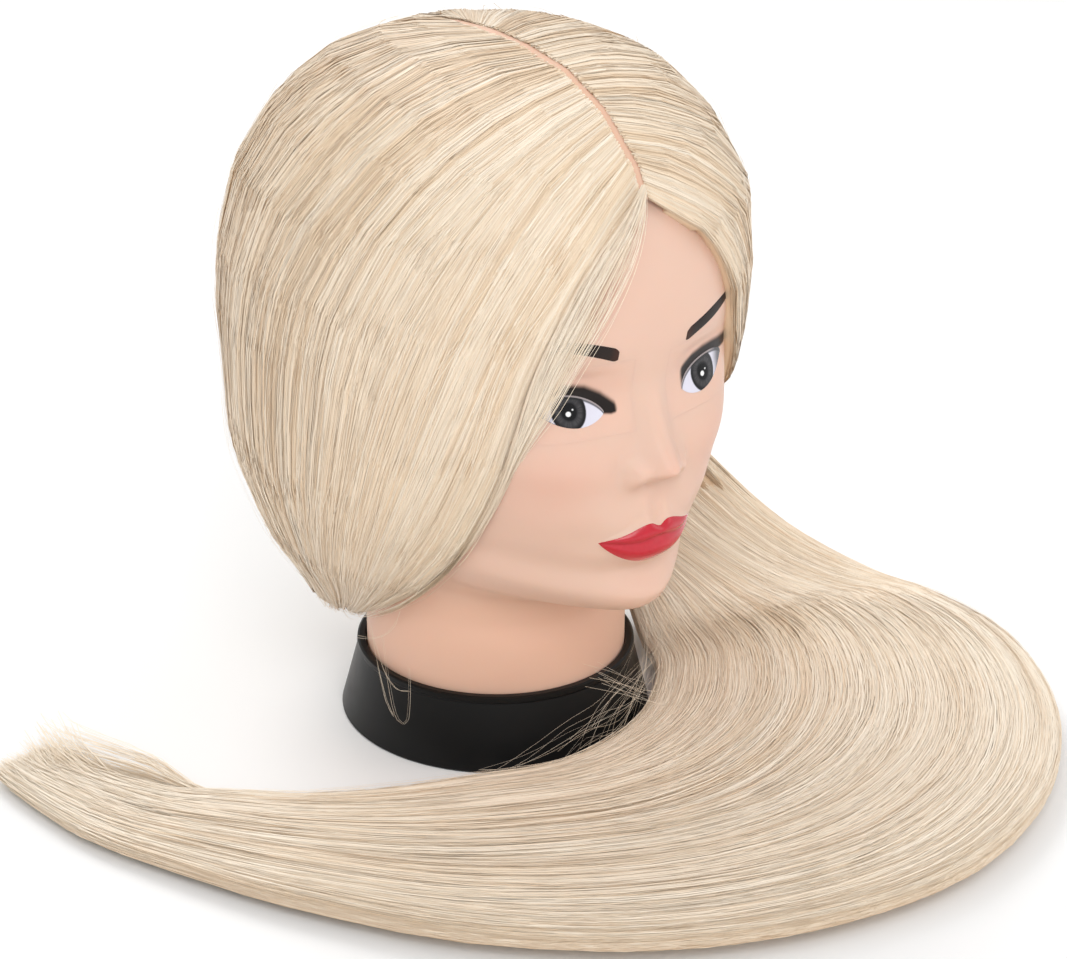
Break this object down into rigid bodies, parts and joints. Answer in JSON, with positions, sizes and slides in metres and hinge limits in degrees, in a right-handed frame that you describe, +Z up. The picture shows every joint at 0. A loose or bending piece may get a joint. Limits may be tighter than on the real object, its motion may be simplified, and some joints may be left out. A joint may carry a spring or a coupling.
{
  "type": "mannequin training head",
  "caption": "Hairdressing practice head: hollow vinyl head with painted face, long parted pale hair swept round a black clamp-socket base.",
  "frame": {"origin": "centre of the base's underside, on the axis of the clamp socket's bore", "axes": "+Z up, the face looks along -Y, +X is the mannequin's left"},
  "size_m": [0.398, 0.3501, 0.287],
  "materials": {
    "skirt_plastic": "satin",
    "core_plastic": "matte",
    "socket_plastic": "matte",
    "screw_steel": "satin",
    "vinyl_skin": "satin",
    "hair": "satin"
  },
  "bodies": {
    "root": {"base_skirt": "skirt_plastic", "neck_core": "core_plastic", "clamp_socket": "socket_plastic", "base_screws": "screw_steel", "head_skin": "vinyl_skin", "hair_right_front": "hair", "hair_left_front": "hair", "hair_right_back": "hair", "hair_left_back": "hair", "hair_nape": "hair", "hair_fall": "hair", "hair_sweep_side": "hair", "hair_sweep_corner": "hair", "hair_sweep_front": "hair", "hair_tips": "hair"}
  },
  "joints": []
}
